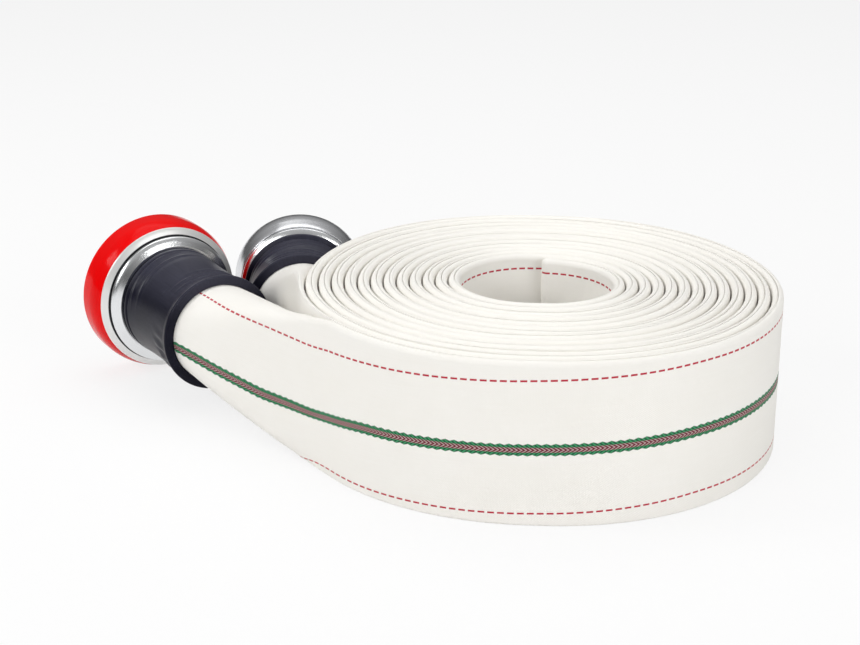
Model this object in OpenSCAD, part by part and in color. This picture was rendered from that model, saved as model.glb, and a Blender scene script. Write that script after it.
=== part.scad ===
// Rolled fire hose: a flat lined hose, folded at its middle and rolled double,
// with a swivelling lug coupling on each end.
// Millimetres. The roll stands on z = 0 about the origin. Each coupling lies at about half the
// height of the roll, tilted a little so that its ring rests on the floor.

/* [Hose] */
// Bore of the hose when it is round
hose_bore = 80; // [70:1:90]
// Wall of the woven jacket
jacket_wall = 1.2; // [0.8:0.1:1.6]
// Wall of the rubber lining
lining_wall = 0.8; // [0.5:0.1:1.2]
// Waterway left open where the hose is rolled flat
flat_gap = 0.4; // [0.2:0.1:0.8]

/* [Roll] */
// Radius of the open core
core_r = 54; // [40:1:70]
// Half turns of the doubled hose
half_turns = 25; // [21:2:27]
// Room between the two layers of a doubled turn
layer_room = 0.3; // [0.2:0.1:0.6]
// Room between one doubled turn and the next
turn_room = 1.5; // [0.8:0.1:2.5]
// Straight run between the round halves, which makes the roll a little oval
oval_run = 12; // [6:1:30]

/* [Red end] */
// Place on the roll where this end leaves it, anticlockwise from +X
red_exit = 218.5; // [217.5:0.25:220]
// Hose between the roll and the sleeve
red_stub = 181.5; // [180:0.5:200]
// Lean of the free hose away from the roll
red_lean = -0.25; // [-0.75:0.25:1]
// Turn of the coupling against the direction in which the hose leaves
red_turn = -3; // [-3.5:0.25:0]
// Rise of the hose at the sleeve over the middle of the roll
red_rise = 1.5; // [0:0.25:3]
// Length of sleeve past the end of the hose tail
red_overhang = 43; // [34:1:48]
// How late the hose opens on its way from the roll to the sleeve
red_ease = 1.7; // [1.6:0.05:2.2]
// Gap at the bend where this end swings out
swing_gap = 0.3; // [0.2:0.05:0.5]

/* [Plain end] */
// Place on the roll where this end leaves it, anticlockwise from +X
plain_exit = 188; // [187:0.25:189]
// Hose between the roll and the sleeve
plain_stub = 129; // [127:0.5:138]
// Lean of the free hose away from the roll
plain_lean = -1; // [-1.25:0.25:0.5]
// Turn of the coupling against the direction in which the hose leaves
plain_turn = 1; // [-2:0.25:1.25]
// Rise of the hose at the sleeve over the middle of the roll
plain_rise = -3.25; // [-4.25:0.25:-1]
// Length of sleeve past the end of the hose tail
plain_overhang = 16; // [8:0.5:18]
// How late the hose opens on its way from the roll to the sleeve
plain_ease = 1.9; // [1.8:0.05:2.4]

/* [Lug ring] */
// Radius of the lug ring where the guard sits
ring_r = 60; // [59:0.5:62]
// Length of the lug ring on the red end
red_ring_len = 38; // [34:0.5:42]
// Length of the lug ring on the plain end
plain_ring_len = 26; // [25:0.5:32]
// Flange behind the guard, above the ring
flange_rise = 4; // [3:0.25:5]
// Wall of the red guard on the ring
guard_wall = 8; // [6.5:0.25:9]
// Depth of the flange that the hooks of the other half grip
grip_depth = 7; // [5:0.5:8]
// Angle that one hook covers
hook_angle = 46; // [30:1:50]
// Reach of the hooks in front of the ring
hook_reach = 13; // [12:0.5:16]
// Turn of the hooks about the coupling's axis
hook_turn = 90; // [0:5:90]

/* [Hose tail] */
// Bore of the waterway through the tail
tail_bore = 72; // [60:1:74]
// Length of tail that the hose is pushed onto
grip_len = 43; // [38:1:52]
// Wall of the journal over the part that holds the hose
journal_step = 3.2; // [2.8:0.1:3.6]
// Shoulder that the lug ring bears on
shoulder_step = 3; // [2:0.25:3.5]
// Number of grooves that grip the hose
tail_grooves = 5; // [3:1:6]
// Depth of those grooves
groove_depth = 1; // [0.5:0.1:1.5]

/* [Small parts] */
// Diameter of the binding wire
wire_d = 1.6; // [1.2:0.1:2]
// Turns of wire in each of the two bands
wire_turns = 5; // [3:1:6]
// Diameter of the spring wire in the retaining ring
clip_d = 2.4; // [2:0.1:2.8]
// Wall of the rubber sleeve at its neck
sleeve_wall = 2.6; // [2:0.1:4]
// Radius of the retaining collar on the red end
red_collar_r = 57.5; // [54:0.5:59]
// Radius of the retaining collar on the plain end
plain_collar_r = 54.5; // [52:0.5:57]
// Radius of the sleeve's lip
lip_r = 50.3; // [48.5:0.1:51]
// Radius of the sleeve's bead on the red end
red_bead_r = 48.5; // [48:0.5:53]
// Radius of the sleeve's bead on the plain end
plain_bead_r = 51.5; // [50:0.5:53]
// How far the gasket stands out of its seat
gasket_lift = 3; // [2:0.25:4]

/* [Fits] */
// Running clearance of the swivel, on the radius
run_fit = 0.05; // [0.02:0.01:0.1]
// Clearance between parts that are fixed together
seat_fit = 0.05; // [0.02:0.01:0.1]
// Room between faces that turn against each other
side_room = 0.2; // [0.1:0.05:0.4]
// Room under a ring that rests on the floor
floor_room = 0.3; // [0.1:0.1:0.6]

/* [Hidden] */
$fn = 96;

// Hose: its thickness when flat and its width from edge to edge
wall = jacket_wall + lining_wall;
half_thick = wall + flat_gap / 2;
hose_r = hose_bore / 2 + wall;
flat_w = PI * (hose_r - half_thick) + 2 * half_thick;
axis_h = flat_w / 2;

// Roll: distance between its layers and the middles of its two round halves
layer_pitch = 2 * half_thick + layer_room;
turn_pitch = 2 * layer_pitch - layer_room + turn_room;
first_r = core_r + half_thick;
last_r = first_r + half_turns * turn_pitch / 2;
right_middle = [oval_run / 2, -turn_pitch / 4];
left_middle = [-oval_run / 2, turn_pitch / 4];
far = 2 * (last_r + layer_pitch);

// Hose ends: an opening hose is lofted through these stations, each with this many corners
stations = 9;
corners = 24;
corner_room = 1 / cos(180 / corners);

// Coupling, measured back from the front of its lug ring, which is "len" long
tail_r = hose_bore / 2 - 4 * seat_fit;
journal_r = tail_r + journal_step;
shoulder_r = journal_r + shoulder_step;
shoulder_front = 2;
washer_t = 0.8;
web_front = 21;
collar_len = 7.6;
clip_r = journal_r + 0.2;
cone_len = 16;
function collar_front(len) = len + 2 * side_room;
function collar_back(len) = collar_front(len) + collar_len;
function sleeve_start(len) = collar_back(len) + 3 * side_room;
function clip_at(len) = collar_back(len) + side_room + clip_d / 2;
function journal_back(len) = clip_at(len) + clip_d / 2 + 1.2;
function hose_start(len) = journal_back(len) + 2.4;
function tail_reach(len) = hose_start(len) + grip_len;
gasket_depth = 7;
gasket_in = tail_bore / 2 + 1.6;
gasket_out = shoulder_r - 1.6;
wire_r = hose_r * corner_room + wire_d / 2 + seat_fit;
sleeve_bore = wire_r + wire_d / 2 + 0.4;
lip_bore = hose_r * corner_room + 2 * seat_fit;
flange_in = ring_r - 7;
cavity_r = ring_r - 3.5;
hook_out = flange_in - 0.6;
hook_in = shoulder_r + 1.5;
hook_tip_r = cavity_r - 0.8;

function turned(a) = [cos(a), sin(a)];
function pointing(heading, tilt) = [cos(tilt) * cos(heading), cos(tilt) * sin(heading), sin(tilt)];
function arc(middle, r, from, to, steps = 5) =
    [for (i = [0 : steps]) middle + r * turned(from + (to - from) * i / steps)];

// Where a layer of the roll ends, and where the hose that runs on from there enters its sleeve
function leave_at(exit, r) = left_middle + r * turned(exit);
function lip_at(exit, r, stub, lean, rise) =
    [each (leave_at(exit, r) + stub * turned(exit - 90 + lean)), axis_h + rise];

// Tilt at which a ring of this radius rests on the floor, "ahead" of the lip
function resting(r, lip, ahead) = asin((r + floor_room - lip[2]) / ahead);

red_reach = tail_reach(red_ring_len) + red_overhang;
plain_reach = tail_reach(plain_ring_len) + plain_overhang;
red_r = last_r + layer_pitch;
red_leave = [each (leave_at(red_exit, red_r) + swing_gap * turned(red_exit - 90)), axis_h];
red_heading = red_exit - 90 + red_turn;
red_lip = lip_at(red_exit, red_r, red_stub, red_lean, red_rise);
red_tilt = resting(ring_r + guard_wall, red_lip, red_reach - red_ring_len / 2);
plain_leave = [each leave_at(plain_exit, last_r), axis_h];
plain_heading = plain_exit - 90 + plain_turn;
plain_lip = lip_at(plain_exit, last_r, plain_stub, plain_lean, plain_rise);
plain_tilt = resting(ring_r, plain_lip, plain_reach);

// Roll

module band(r, w) difference() {
    circle(r + w);
    circle(r - w);
}

module half_plane(side) translate([side > 0 ? 0 : -far, -far]) square([far, 2 * far]);

module layers(k, w) {
    band(first_r + k * turn_pitch / 2, w);
    band(first_r + k * turn_pitch / 2 + layer_pitch, w);
}

module round_half(side, first, w) translate(side > 0 ? right_middle : left_middle) difference() {
    for (k = [first : 2 : half_turns - 1]) layers(k, w);
    half_plane(-side);
}

module straight_runs(w) for (k = [0 : half_turns - 1], layer = [0, 1])
    let (r = first_r + k * turn_pitch / 2 + layer * layer_pitch,
         y = k % 2 == 0 ? right_middle[1] - r : left_middle[1] + r)
    translate([-oval_run / 2, y - w]) square([oval_run, 2 * w]);

module fold(w) translate(right_middle + [0, first_r + layer_pitch / 2]) difference() {
    band(layer_pitch / 2, w);
    half_plane(1);
}

module last_run(r, exit, w) translate(left_middle) difference() {
    band(r, w);
    half_plane(1);
    rotate(exit) translate([-far, -far]) square([2 * far, far]);
}

module flat_hose(w, extra = 0) {
    round_half(1, 0, w);
    round_half(-1, 1, w);
    straight_runs(w);
    fold(w);
    last_run(last_r + layer_pitch, red_exit - extra, w);
    last_run(last_r, plain_exit - extra, w);
}

module rolled(w, extra = 0) translate([0, 0, half_thick - w])
    linear_extrude(height = flat_w - 2 * (half_thick - w)) flat_hose(w, extra);

// Hose ends: the hose opens from flat to round at a constant girth

function bezier(p, u) = pow(1 - u, 3) * p[0] + 3 * u * pow(1 - u, 2) * p[1] + 3 * u * u * (1 - u) * p[2]
    + pow(u, 3) * p[3];
function bezier_way(p, u) = pow(1 - u, 2) * (p[1] - p[0]) + 2 * u * (1 - u) * (p[2] - p[1])
    + u * u * (p[3] - p[2]);
function route(lip, heading, tilt, leave, exit) = let (reach = norm(leave - lip) / 3)
    [lip, lip - reach * pointing(heading, tilt), leave + reach * pointing(exit - 90, 0), leave];
function half_open(u, ease) = half_thick + (hose_r - half_thick) * pow(1 - u, ease);

// One corner of a section, "inset" inside the hose's outer face, as [across, up]
function corner(open, inset, i) =
    let (quarter = corners / 4,
         side = i <= quarter || i >= 3 * quarter ? 1 : -1,
         up = i <= 2 * quarter ? 1 : -1,
         step = quarter - abs(quarter - (i % (2 * quarter))),
         flat = PI * (hose_r - open) / 2,
         along = (flat + PI * open / 2) * step / quarter,
         grown = open * (1 + (corner_room - 1) * (open - half_thick) / (hose_r - half_thick)) - inset,
         bend = max(0, along - flat) / open * 180 / PI)
    [side * grown * cos(bend), up * (min(along, flat) + grown * sin(bend))];

function section(middle, way, open, inset) =
    let (w = way / norm(way),
         level = norm([w[0], w[1]]),
         across = [w[1], -w[0], 0] / level,
         up = [-w[0] * w[2] / level, -w[1] * w[2] / level, level])
    [for (i = [0 : corners - 1]) let (c = corner(open, inset, i)) middle + c[0] * across + c[1] * up];

function skin(lip, heading, tilt, leave, exit, covered, ease, inset) =
    let (p = route(lip, heading, tilt, leave, exit), way = pointing(heading, tilt))
    concat(section(lip + covered * way, -way, hose_r, inset),
        [for (j = [0 : stations]) let (u = j / stations)
            each section(bezier(p, u), bezier_way(p, u), half_open(u, ease), inset)]);

function quad(a, b, c, d) = [[a, b, c], [a, c, d]];

// "covered" is the length of hose under the sleeve
module opening_hose(lip, heading, tilt, leave, exit, covered, ease, outside, inside) {
    rows = stations + 2;
    inner = rows * corners;
    end = inner - corners;
    points = concat(skin(lip, heading, tilt, leave, exit, covered, ease, outside),
        skin(lip, heading, tilt, leave, exit, covered, ease, inside));
    faces = [for (i = [0 : corners - 1]) let (n = (i + 1) % corners) each concat(
        [for (j = [0 : rows - 2]) let (a = j * corners, b = a + corners)
            each concat(quad(a + i, a + n, b + n, b + i),
                quad(inner + a + i, inner + b + i, inner + b + n, inner + a + n))],
        quad(i, inner + i, inner + n, n),
        quad(end + i, end + n, inner + end + n, inner + end + i))];
    polyhedron(points, faces, convexity = 6);
}

module red_hose(outside, inside)
    opening_hose(red_lip, red_heading, red_tilt, red_leave, red_exit, red_reach - hose_start(red_ring_len),
        red_ease, outside, inside);
module plain_hose(outside, inside)
    opening_hose(plain_lip, plain_heading, plain_tilt, plain_leave, plain_exit,
        plain_reach - hose_start(plain_ring_len), plain_ease, outside, inside);

// Coupling parts, about +Z with the front of the lug ring at z = 0

module at_coupling(lip, heading, tilt, reach)
    translate(lip + reach * pointing(heading, tilt)) rotate([0, 90 - tilt, heading]) children();
module at_red() at_coupling(red_lip, red_heading, red_tilt, red_reach) children();
module at_plain() at_coupling(plain_lip, plain_heading, plain_tilt, plain_reach) children();

module hose_tail(len) {
    pitch = (grip_len - 8) / tail_grooves;
    back = tail_reach(len);
    rotate_extrude() difference() {
        polygon([
            [tail_bore / 2, -shoulder_front], [shoulder_r - 1, -shoulder_front],
            [shoulder_r, -shoulder_front - 1], [shoulder_r, -web_front + washer_t + side_room],
            [journal_r, -web_front + washer_t + side_room], [journal_r, -journal_back(len)],
            [tail_r, -journal_back(len) - 1.5], [tail_r, -back + 2], [tail_r - 1.2, -back],
            [tail_bore / 2, -back]]);
        translate([gasket_in, -shoulder_front - gasket_depth])
            square([gasket_out - gasket_in, gasket_depth + 1]);
        translate([clip_r, -clip_at(len)]) circle(clip_d / 2 + seat_fit);
        for (i = [0 : tail_grooves - 1]) translate([tail_r, -hose_start(len) - 4 - i * pitch])
            polygon([[1, 0.2], [1, -pitch], [0, -pitch + 1], [-groove_depth, -0.3]]);
    }
}

// Back of a lug ring: a flange that the guard sits against, or a plain cone
function flanged_back(len, collar_r) = [
    [collar_r + 0.5, -len], [ring_r + flange_rise, -len + 3], [ring_r + flange_rise, -len + 4.5],
    [ring_r, -len + 4.5]];
function coned_back(len, collar_r) = [[collar_r + 0.5, -len], [ring_r, -len + cone_len]];

module lug_ring(len, back) {
    difference() {
        rotate_extrude() polygon(concat(
            [[journal_r + run_fit, -web_front], [journal_r + run_fit, -len]], back,
            [[ring_r, -2], [ring_r - 2, 0], [flange_in, 0],
            [flange_in, -grip_depth], [cavity_r, -grip_depth], [cavity_r, -web_front]]));
        for (side = [90, 270]) rotate(hook_turn + side - hook_angle / 2 - 8) translate([0, 0, -grip_depth - 1])
            rotate_extrude(angle = hook_angle + 16)
                translate([flange_in - 1, 0]) square([hook_tip_r + 1.4 - flange_in, grip_depth + 2]);
    }
    for (side = [0, 180]) rotate(hook_turn + side - hook_angle / 2) rotate_extrude(angle = hook_angle)
        polygon([
            [hook_in, -web_front - 1], [hook_out, -web_front - 1], [hook_out, grip_depth + 1.5],
            [hook_tip_r, grip_depth + 1.5], [hook_tip_r, hook_reach - 1.5], [hook_tip_r - 1.5, hook_reach],
            [hook_in, hook_reach]]);
}

// A band that is widest towards its front and curves down to the flange behind it
module guard_ring(len) {
    back = len - 4.5 - seat_fit;
    front_round = 4;
    widest = back / 2;
    out = ring_r + guard_wall;
    drop = guard_wall - flange_rise;
    crown_r = (pow(back - widest, 2) + pow(drop, 2)) / (2 * drop);
    rotate_extrude() polygon(concat(
        [[ring_r + seat_fit, -back], [ring_r + seat_fit, -1]],
        arc([out - front_round, -1 - front_round], front_round, 90, 0),
        arc([out - crown_r, -widest], crown_r, 0, -asin((back - widest) / crown_r))));
}

module gasket() {
    foot = shoulder_front + gasket_depth - seat_fit;
    top = gasket_lift - shoulder_front;
    rotate_extrude() polygon([
        [gasket_in + seat_fit, -foot], [gasket_out - seat_fit, -foot], [gasket_out - seat_fit, -shoulder_front],
        [gasket_out - 1.5, top], [gasket_in + 2, top], [gasket_in + seat_fit, top - 1.5]]);
}

module thrust_washer() translate([0, 0, -web_front + side_room / 2]) rotate_extrude()
    translate([journal_r + run_fit, 0]) square([shoulder_step - 2 * run_fit, washer_t]);

module retaining_collar(len, collar_r) {
    edge = 3;
    front = collar_front(len);
    rotate_extrude() polygon(concat(
        [[journal_r + seat_fit, -collar_back(len)], [journal_r + seat_fit, -front], [collar_r - 2, -front]],
        arc([collar_r - edge, -front - edge], edge, 60, 0),
        arc([collar_r - collar_len + edge, -front - edge], collar_len - edge, 0, -90)));
}

module spring_clip(len) translate([0, 0, -clip_at(len)]) rotate(15) rotate_extrude(angle = 330)
    translate([clip_r, 0]) circle(clip_d / 2);

module binding_wire(len) for (band_at = [0.3, 0.75], i = [0 : wire_turns - 1])
    translate([0, 0, -hose_start(len) - band_at * grip_len - (i - wire_turns / 2) * (wire_d + seat_fit)])
        rotate_extrude() translate([wire_r, 0]) circle(wire_d / 2);

module sleeve(len, reach, bead_r) {
    neck_r = sleeve_bore + sleeve_wall;
    bead = 2.5;
    lip = 4;
    start = sleeve_start(len);
    neck_front = start + 9;
    neck_back = reach - 2 * lip;
    waist = 8;
    rotate_extrude() polygon(concat(
        [[sleeve_bore, -reach + 7], [sleeve_bore, -start]],
        arc([bead_r - bead, -start - bead], bead, 90, 0),
        arc([bead_r - bead, -start - 2 * bead], bead, 0, -60),
        [for (i = [0 : waist]) let (t = i / waist, across = 2 * t - 1)
            [neck_r + 1.2 * across * across, -neck_front - (neck_back - neck_front) * t]],
        arc([lip_r - lip, -reach + lip], lip, 60, -90),
        [[lip_bore, -reach], [lip_bore, -reach + 5]]));
}

// Sub-parts

module roll_jacket() color("ivory") difference() {
    rolled(half_thick);
    rolled(half_thick - jacket_wall, 0.1);
}
module roll_lining() color("lightgray") difference() {
    rolled(half_thick - jacket_wall);
    rolled(half_thick - wall, 0.1);
}
module red_end_jacket() color("ivory") red_hose(0, jacket_wall);
module red_end_lining() color("lightgray") red_hose(jacket_wall, wall);
module red_end_hose_tail() color("silver") at_red() hose_tail(red_ring_len);
module red_end_lug_ring() color("silver") at_red()
    lug_ring(red_ring_len, flanged_back(red_ring_len, red_collar_r));
module red_end_guard_ring() color("firebrick") at_red() guard_ring(red_ring_len);
module red_end_gasket() color("dimgray") at_red() gasket();
module red_end_thrust_washer() color("wheat") at_red() thrust_washer();
module red_end_retaining_collar() color("gainsboro") at_red() retaining_collar(red_ring_len, red_collar_r);
module red_end_spring_clip() color("slategray") at_red() spring_clip(red_ring_len);
module red_end_binding_wire() color("gray") at_red() binding_wire(red_ring_len);
module red_end_sleeve() color("darkslategray") at_red() sleeve(red_ring_len, red_reach, red_bead_r);
module plain_end_jacket() color("ivory") plain_hose(0, jacket_wall);
module plain_end_lining() color("lightgray") plain_hose(jacket_wall, wall);
module plain_end_hose_tail() color("silver") at_plain() hose_tail(plain_ring_len);
module plain_end_lug_ring() color("silver") at_plain()
    lug_ring(plain_ring_len, coned_back(plain_ring_len, plain_collar_r));
module plain_end_gasket() color("dimgray") at_plain() gasket();
module plain_end_thrust_washer() color("wheat") at_plain() thrust_washer();
module plain_end_retaining_collar() color("gainsboro") at_plain() retaining_collar(plain_ring_len, plain_collar_r);
module plain_end_spring_clip() color("slategray") at_plain() spring_clip(plain_ring_len);
module plain_end_binding_wire() color("gray") at_plain() binding_wire(plain_ring_len);
module plain_end_sleeve() color("darkslategray") at_plain() sleeve(plain_ring_len, plain_reach, plain_bead_r);

roll_jacket();
roll_lining();
red_end_jacket();
red_end_lining();
red_end_hose_tail();
red_end_lug_ring();
red_end_guard_ring();
red_end_gasket();
red_end_thrust_washer();
red_end_retaining_collar();
red_end_spring_clip();
red_end_binding_wire();
red_end_sleeve();
plain_end_jacket();
plain_end_lining();
plain_end_hose_tail();
plain_end_lug_ring();
plain_end_gasket();
plain_end_thrust_washer();
plain_end_retaining_collar();
plain_end_spring_clip();
plain_end_binding_wire();
plain_end_sleeve();
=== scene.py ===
"""Looks of the rolled fire hose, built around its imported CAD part.

The hose is one flat woven tube. Its route is the CAD model's own, repeated here in millimetres:
from the red coupling once round the outside, in to the fold at the core, and out to the plain one.
"""
import math

import bpy
import numpy as np
from mathutils import Matrix, Vector


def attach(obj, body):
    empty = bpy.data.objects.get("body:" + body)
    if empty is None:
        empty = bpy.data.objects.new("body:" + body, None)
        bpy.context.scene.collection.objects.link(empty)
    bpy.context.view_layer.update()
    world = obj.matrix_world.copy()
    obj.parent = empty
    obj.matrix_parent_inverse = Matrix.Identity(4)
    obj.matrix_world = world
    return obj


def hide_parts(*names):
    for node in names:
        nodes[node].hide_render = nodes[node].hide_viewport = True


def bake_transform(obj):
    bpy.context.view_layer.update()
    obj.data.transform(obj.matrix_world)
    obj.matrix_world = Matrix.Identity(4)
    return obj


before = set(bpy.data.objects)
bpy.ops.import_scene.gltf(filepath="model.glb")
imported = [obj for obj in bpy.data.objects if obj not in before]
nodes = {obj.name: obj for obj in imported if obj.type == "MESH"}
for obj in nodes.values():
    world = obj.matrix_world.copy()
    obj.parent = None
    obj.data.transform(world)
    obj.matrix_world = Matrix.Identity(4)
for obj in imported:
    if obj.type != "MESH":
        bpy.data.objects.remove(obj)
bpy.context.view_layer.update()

MM = 0.001

# Hose, as in the CAD source
HOSE_R = 42.0
WALL = 2.0
HALF_THICK = 2.2
QUARTER_GIRTH = math.pi * HOSE_R / 2
FLAT_W = math.pi * (HOSE_R - HALF_THICK) + 2 * HALF_THICK
AXIS_H = FLAT_W / 2

# Roll, as in the CAD source
CORE_R = 54.0
HALF_TURNS = 25
LAYER_PITCH = 4.7
TURN_PITCH = 10.6
OVAL_RUN = 12.0
FIRST_R = CORE_R + HALF_THICK
LAST_R = FIRST_R + HALF_TURNS * TURN_PITCH / 2
RIGHT_MIDDLE = np.array([OVAL_RUN / 2, -TURN_PITCH / 4])
LEFT_MIDDLE = np.array([-OVAL_RUN / 2, TURN_PITCH / 4])

# Couplings, as in the CAD source, with places measured back from the front of the lug ring
RING_R = 60.0
GUARD_WALL = 8.0
GUARD_FRONT = 1.0
FLANGE_RISE = 4.0
FLANGE_LEN = 4.55
COLLAR_GAP = 0.4
COLLAR_LEN = 7.6
SLEEVE_GAP = 0.6
JOURNAL_R = 43.0
SLEEVE_BORE = 44.41
NECK_WALL = 2.6
LIP_BORE = 42.46
LIP_R = 50.3
HOSE_GAP = 14.2
GRIP_LEN = 43.0
GASKET_IN = 37.65
GASKET_OUT = 44.35
FLOOR_ROOM = 0.3

# The picture's width in pixels and the camera found for it: millimetres, pixels and degrees
IMAGE_WIDTH = 860
CAMERA_REACH = 1560.24
CAMERA_RISE = 20.525
CAMERA_FOCUS = 1882.17
CAMERA_PITCH = 19.63
CAMERA_YAW = -3.50
CAMERA_ROLL = 0.448
SENSOR_WIDTH = 36


def turned(degrees):
    """The direction at this angle in plan."""
    angle = math.radians(degrees)
    return np.array([math.cos(angle), math.sin(angle)])


def pointing(heading, tilt):
    """The direction with this heading, tilted up from the floor, both in degrees."""
    rise = math.radians(tilt)
    return np.append(math.cos(rise) * turned(heading), math.sin(rise))


class Coupling:
    """Places along one coupling, and the radii in which the two differ.

    It touches the floor with the radius rest_r, rest_at back from its front.
    """

    def __init__(self, ring_len, overhang, rest_r, rest_at, collar_r, bead_r):
        self.ring_len = ring_len
        self.rest_r = rest_r
        self.rest_at = rest_at
        self.collar_r = collar_r
        self.bead_r = bead_r
        self.collar_front = ring_len + COLLAR_GAP
        self.collar_back = self.collar_front + COLLAR_LEN
        self.sleeve_start = self.collar_back + SLEEVE_GAP
        self.hose_start = ring_len + HOSE_GAP
        self.reach = self.hose_start + GRIP_LEN + overhang


class HoseEnd:
    """One free end of the hose: where it leaves the roll, and how its coupling lies on the floor.

    Angles are in degrees. The hose opens from flat to round along its stub, by the power ease.
    """

    def __init__(self, body, coupling, exit_angle, layer_r, gap, stub, lean, turn, rise, ease):
        self.body = body
        self.coupling = coupling
        self.exit_angle = exit_angle
        self.heading = exit_angle - 90 + turn
        self.ease = ease
        base = LEFT_MIDDLE + layer_r * turned(exit_angle)
        self.leave = np.append(base + gap * turned(exit_angle - 90), AXIS_H)
        self.lip = np.append(base + stub * turned(exit_angle - 90 + lean), AXIS_H + rise)
        drop = coupling.rest_r + FLOOR_ROOM - self.lip[2]
        self.tilt = math.degrees(math.asin(drop / (coupling.reach - coupling.rest_at)))
        self.way = pointing(self.heading, self.tilt)
        self.front = self.lip + coupling.reach * self.way

    def matrix(self):
        """From a coupling's own frame, with its front at z = 0 and facing +Z, to the row frame."""
        place = Matrix.Translation(Vector(self.front) * MM)
        tip = Matrix.Rotation(math.radians(90 - self.tilt), 4, "Y")
        return place @ Matrix.Rotation(math.radians(self.heading), 4, "Z") @ tip


RED_COUPLING = Coupling(ring_len=38.0, overhang=43.0, rest_r=RING_R + GUARD_WALL, rest_at=19.0,
                        collar_r=57.5, bead_r=48.5)
PLAIN_COUPLING = Coupling(ring_len=26.0, overhang=16.0, rest_r=RING_R, rest_at=0.0,
                          collar_r=54.5, bead_r=51.5)
RED = HoseEnd("red_end", RED_COUPLING, exit_angle=218.5, layer_r=LAST_R + LAYER_PITCH, gap=0.3,
              stub=181.5, lean=-0.25, turn=-3.0, rise=1.5, ease=1.7)
PLAIN = HoseEnd("roll", PLAIN_COUPLING, exit_angle=188.0, layer_r=LAST_R, gap=0.0,
                stub=129.0, lean=-1.0, turn=1.0, rise=-3.25, ease=1.9)


# Route of the hose

# Degrees between stations of the roll, and half the thickness of the flat hose as it is drawn
FINE_STEP = 1.5
SKIN_HALF = 2.28
OPENING_STATIONS = 72
ROUND_STATIONS = 8
FOLD_STATIONS = 14
SAME_PLACE = 0.02


def arc_points(middle, r, start, stop, step=FINE_STEP):
    count = max(4, round(abs(stop - start) / step))
    angles = np.radians(np.linspace(start, stop, count + 1))
    return middle + r * np.column_stack([np.cos(angles), np.sin(angles)])


def strand(lift, exit_angle):
    """One layer of the roll, from the fold out to where it leaves."""
    runs = []
    for k in range(HALF_TURNS):
        r = FIRST_R + k * TURN_PITCH / 2 + lift
        if k % 2 == 0:
            runs.append(arc_points(RIGHT_MIDDLE, r, 90, -90))
        else:
            runs.append(arc_points(LEFT_MIDDLE, r, 270, 90))
    runs.append(arc_points(LEFT_MIDDLE, LAST_R + lift, 270, exit_angle))
    return np.vstack(runs)


def level(points):
    """Points of the plan, lifted to the middle height of the roll."""
    return np.column_stack([points, np.full(len(points), AXIS_H)])


def opening(end):
    """The free hose from the roll to its lip, and on under the sleeve: points and half openings."""
    u = np.linspace(1, 0, OPENING_STATIONS + 1)[1:, None]
    reach = np.linalg.norm(end.leave - end.lip) / 3
    bent_out = end.lip - reach * end.way
    bent_in = end.leave + reach * pointing(end.exit_angle - 90, 0)
    points = ((1 - u) ** 3 * end.lip + 3 * u * (1 - u) ** 2 * bent_out
              + 3 * u ** 2 * (1 - u) * bent_in + u ** 3 * end.leave)
    opened = SKIN_HALF + (HOSE_R - SKIN_HALF) * (1 - u[:, 0]) ** end.ease
    covered = end.coupling.reach - end.coupling.hose_start
    under = np.linspace(0, covered, ROUND_STATIONS + 1)[1:, None]
    straight = end.lip + under * end.way
    return np.vstack([points, straight]), np.concatenate([opened, np.full(ROUND_STATIONS, HOSE_R)])


def fold_points():
    """The half turn at the core, on the side away from the strands."""
    middle = RIGHT_MIDDLE + np.array([0, FIRST_R + LAYER_PITCH / 2])
    return arc_points(middle, LAYER_PITCH / 2, 90, 270, 180 / FOLD_STATIONS)[1:-1]


class Route:
    """All stations of the hose from the red end to the plain end, with the marks of its stretches."""

    def __init__(self):
        red_points, red_open = opening(RED)
        plain_points, plain_open = opening(PLAIN)
        outer = level(strand(LAYER_PITCH, RED.exit_angle))
        inner = level(strand(0, PLAIN.exit_angle))
        fold = level(fold_points())
        self.points = np.vstack([red_points[::-1], outer[::-1], fold, inner, plain_points])
        flat_count = len(outer) + len(fold) + len(inner)
        self.half_open = np.concatenate([red_open[::-1], np.full(flat_count, SKIN_HALF), plain_open])
        self.red_leave = len(red_points)
        self.fold = self.red_leave + len(outer)
        self.plain_leave = self.red_leave + flat_count
        share = np.linspace(0, 1, OPENING_STATIONS + 1)[1:]
        self.slack = np.zeros(len(self.points))
        self.slack[ROUND_STATIONS : ROUND_STATIONS + OPENING_STATIONS] = (4 * share * (1 - share))[::-1]
        self.drop_doubles()
        steps = np.linalg.norm(np.diff(self.points, axis=0), axis=1)
        self.along = np.concatenate([[0], np.cumsum(steps)])
        way = np.gradient(self.points, self.along, axis=0)
        way /= np.linalg.norm(way, axis=1)[:, None]
        flat_way = np.linalg.norm(way[:, :2], axis=1)
        across = np.column_stack([way[:, 1], -way[:, 0], np.zeros(len(way))])
        self.marked_side = across / flat_way[:, None]
        self.up = np.cross(self.marked_side, way)
        self.up *= np.sign(self.up[:, 2])[:, None]

    def drop_doubles(self):
        """Leaves out stations that lie on the one before, where two runs meet."""
        steps = np.linalg.norm(np.diff(self.points, axis=0), axis=1)
        keep = np.concatenate([[True], steps > SAME_PLACE])
        self.red_leave -= int((~keep[: self.red_leave]).sum())
        self.fold -= int((~keep[: self.fold]).sum())
        self.plain_leave -= int((~keep[: self.plain_leave]).sum())
        self.points = self.points[keep]
        self.half_open = self.half_open[keep]
        self.slack = self.slack[keep]

    def station(self, distance):
        return int(np.searchsorted(self.along, distance))


route = Route()


WAVE_SHIFT = 1.7


def ripple(along, waves, seed):
    """A smooth uneven line along the hose, from -1 to 1, from waves of these lengths in millimetres."""
    total = np.zeros_like(along)
    for i, length in enumerate(waves):
        total += np.sin(2 * math.pi * along / length + seed * (i + WAVE_SHIFT))
    return total / len(waves)


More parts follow.
